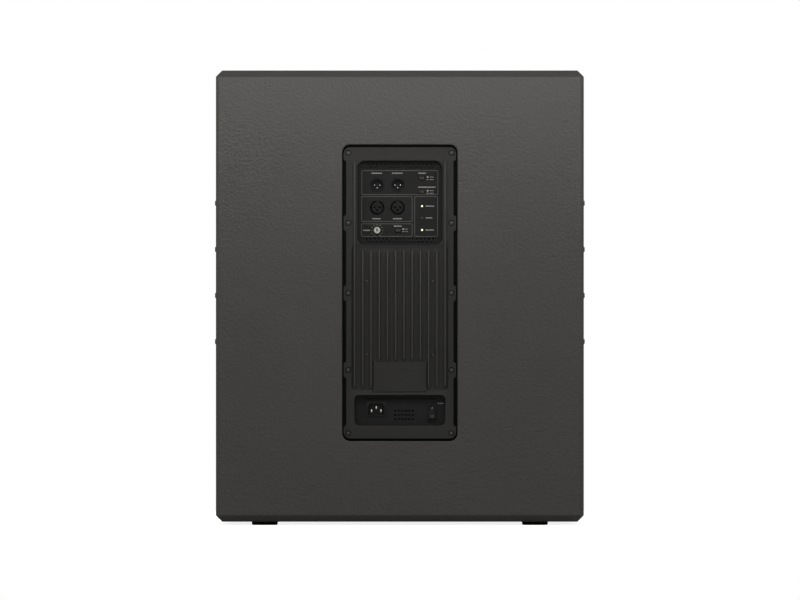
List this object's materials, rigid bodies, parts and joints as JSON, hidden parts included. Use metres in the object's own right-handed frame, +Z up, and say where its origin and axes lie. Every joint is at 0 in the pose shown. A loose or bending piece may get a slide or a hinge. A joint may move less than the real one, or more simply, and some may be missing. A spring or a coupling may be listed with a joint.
{
  "type": "powered subwoofer",
  "caption": "Upright floor-standing powered bass loudspeaker cabinet with a finned plate amplifier in the rear, a steel front grille and recessed side handles.",
  "frame": {"origin": "on the floor under the middle of the cabinet, at the height of the feet's undersides", "axes": "+Z up; the rear panel with the amplifier faces -Y and the grille faces +Y; +X is to the right when looking at the rear panel"},
  "size_m": [0.5312, 0.6, 0.649],
  "materials": {
    "textured_paint": "matte",
    "plywood": "matte",
    "powder_coat": "satin",
    "black_plastic": "satin",
    "grey_plastic": "satin",
    "rubber": "matte",
    "foam": "matte",
    "paper": "matte",
    "cloth": "matte",
    "steel": "satin",
    "ferrite": "matte",
    "aluminium": "satin",
    "black_aluminium": "satin",
    "copper": "satin",
    "circuit_board": "satin",
    "lit_lens": "gloss",
    "dark_lens": "gloss"
  },
  "bodies": {
    "cabinet": {"top_panel": "textured_paint", "bottom_panel": "textured_paint", "left_side_panel": "textured_paint", "right_side_panel": "textured_paint", "rear_panel": "textured_paint", "front_baffle": "plywood", "lower_brace": "plywood", "upper_brace": "plywood", "front_left_foot": "rubber", "front_right_foot": "rubber", "rear_left_foot": "rubber", "rear_right_foot": "rubber", "pole_socket": "black_plastic", "left_handle_dish": "powder_coat", "right_handle_dish": "powder_coat", "left_handle_grip": "rubber", "right_handle_grip": "rubber", "grille": "powder_coat", "grille_foam": "foam", "left_port_tube": "black_plastic", "right_port_tube": "black_plastic", "woofer_basket": "aluminium", "woofer_gasket": "rubber", "surround": "rubber", "spider": "cloth", "top_plate": "steel", "magnet": "ferrite", "back_plate_and_pole": "steel", "amp_plate": "black_aluminium", "amp_gasket": "rubber", "control_panel": "powder_coat", "mains_panel": "powder_coat", "left_output_socket": "black_plastic", "right_output_socket": "black_plastic", "left_input_socket": "black_plastic", "right_input_socket": "black_plastic", "level_pot": "black_plastic", "filter_switch": "black_plastic", "polarity_switch": "black_plastic", "ground_lift_switch": "black_plastic", "signal_led": "lit_lens", "limit_led": "dark_lens", "power_led": "lit_lens", "mains_inlet": "black_plastic", "power_switch_housing": "black_plastic", "control_board": "circuit_board", "amplifier_board": "circuit_board", "power_supply_board": "circuit_board", "power_transformer": "ferrite", "amp_cover": "steel", "speaker_cable": "rubber"},
    "level_knob": {"level_knob": "grey_plastic"},
    "filter_button": {"filter_button": "black_plastic"},
    "polarity_button": {"polarity_button": "black_plastic"},
    "ground_lift_button": {"ground_lift_button": "black_plastic"},
    "power_rocker": {"power_rocker": "black_plastic"},
    "cone_assembly": {"cone": "paper", "dust_cap": "paper", "voice_coil": "copper"}
  },
  "joints": [
    {"name": "level_knob_turn", "type": "hinge", "parent": "cabinet", "child": "level_knob", "pos_m": [-0.0326, -0.284, 0.4208], "axis": [0, -1, 0], "range_deg": [-150, 150]},
    {"name": "filter_button_press", "type": "slide", "parent": "cabinet", "child": "filter_button", "axis": [0, 1, 0], "range_m": [0, 0.0025], "stiffness_N_per_m": 600},
    {"name": "polarity_button_press", "type": "slide", "parent": "cabinet", "child": "polarity_button", "axis": [0, 1, 0], "range_m": [0, 0.0025], "stiffness_N_per_m": 600},
    {"name": "ground_lift_button_press", "type": "slide", "parent": "cabinet", "child": "ground_lift_button", "axis": [0, 1, 0], "range_m": [0, 0.0025], "stiffness_N_per_m": 600},
    {"name": "power_rocker_tip", "type": "hinge", "parent": "cabinet", "child": "power_rocker", "pos_m": [0.0461, -0.2818, 0.1602], "axis": [1, 0, 0], "range_deg": [0, 20]},
    {"name": "cone_travel", "type": "slide", "parent": "cabinet", "child": "cone_assembly", "axis": [0, 1, 0], "range_m": [-0.009, 0.009], "stiffness_N_per_m": 9000, "deforming": ["surround", "spider"]}
  ]
}
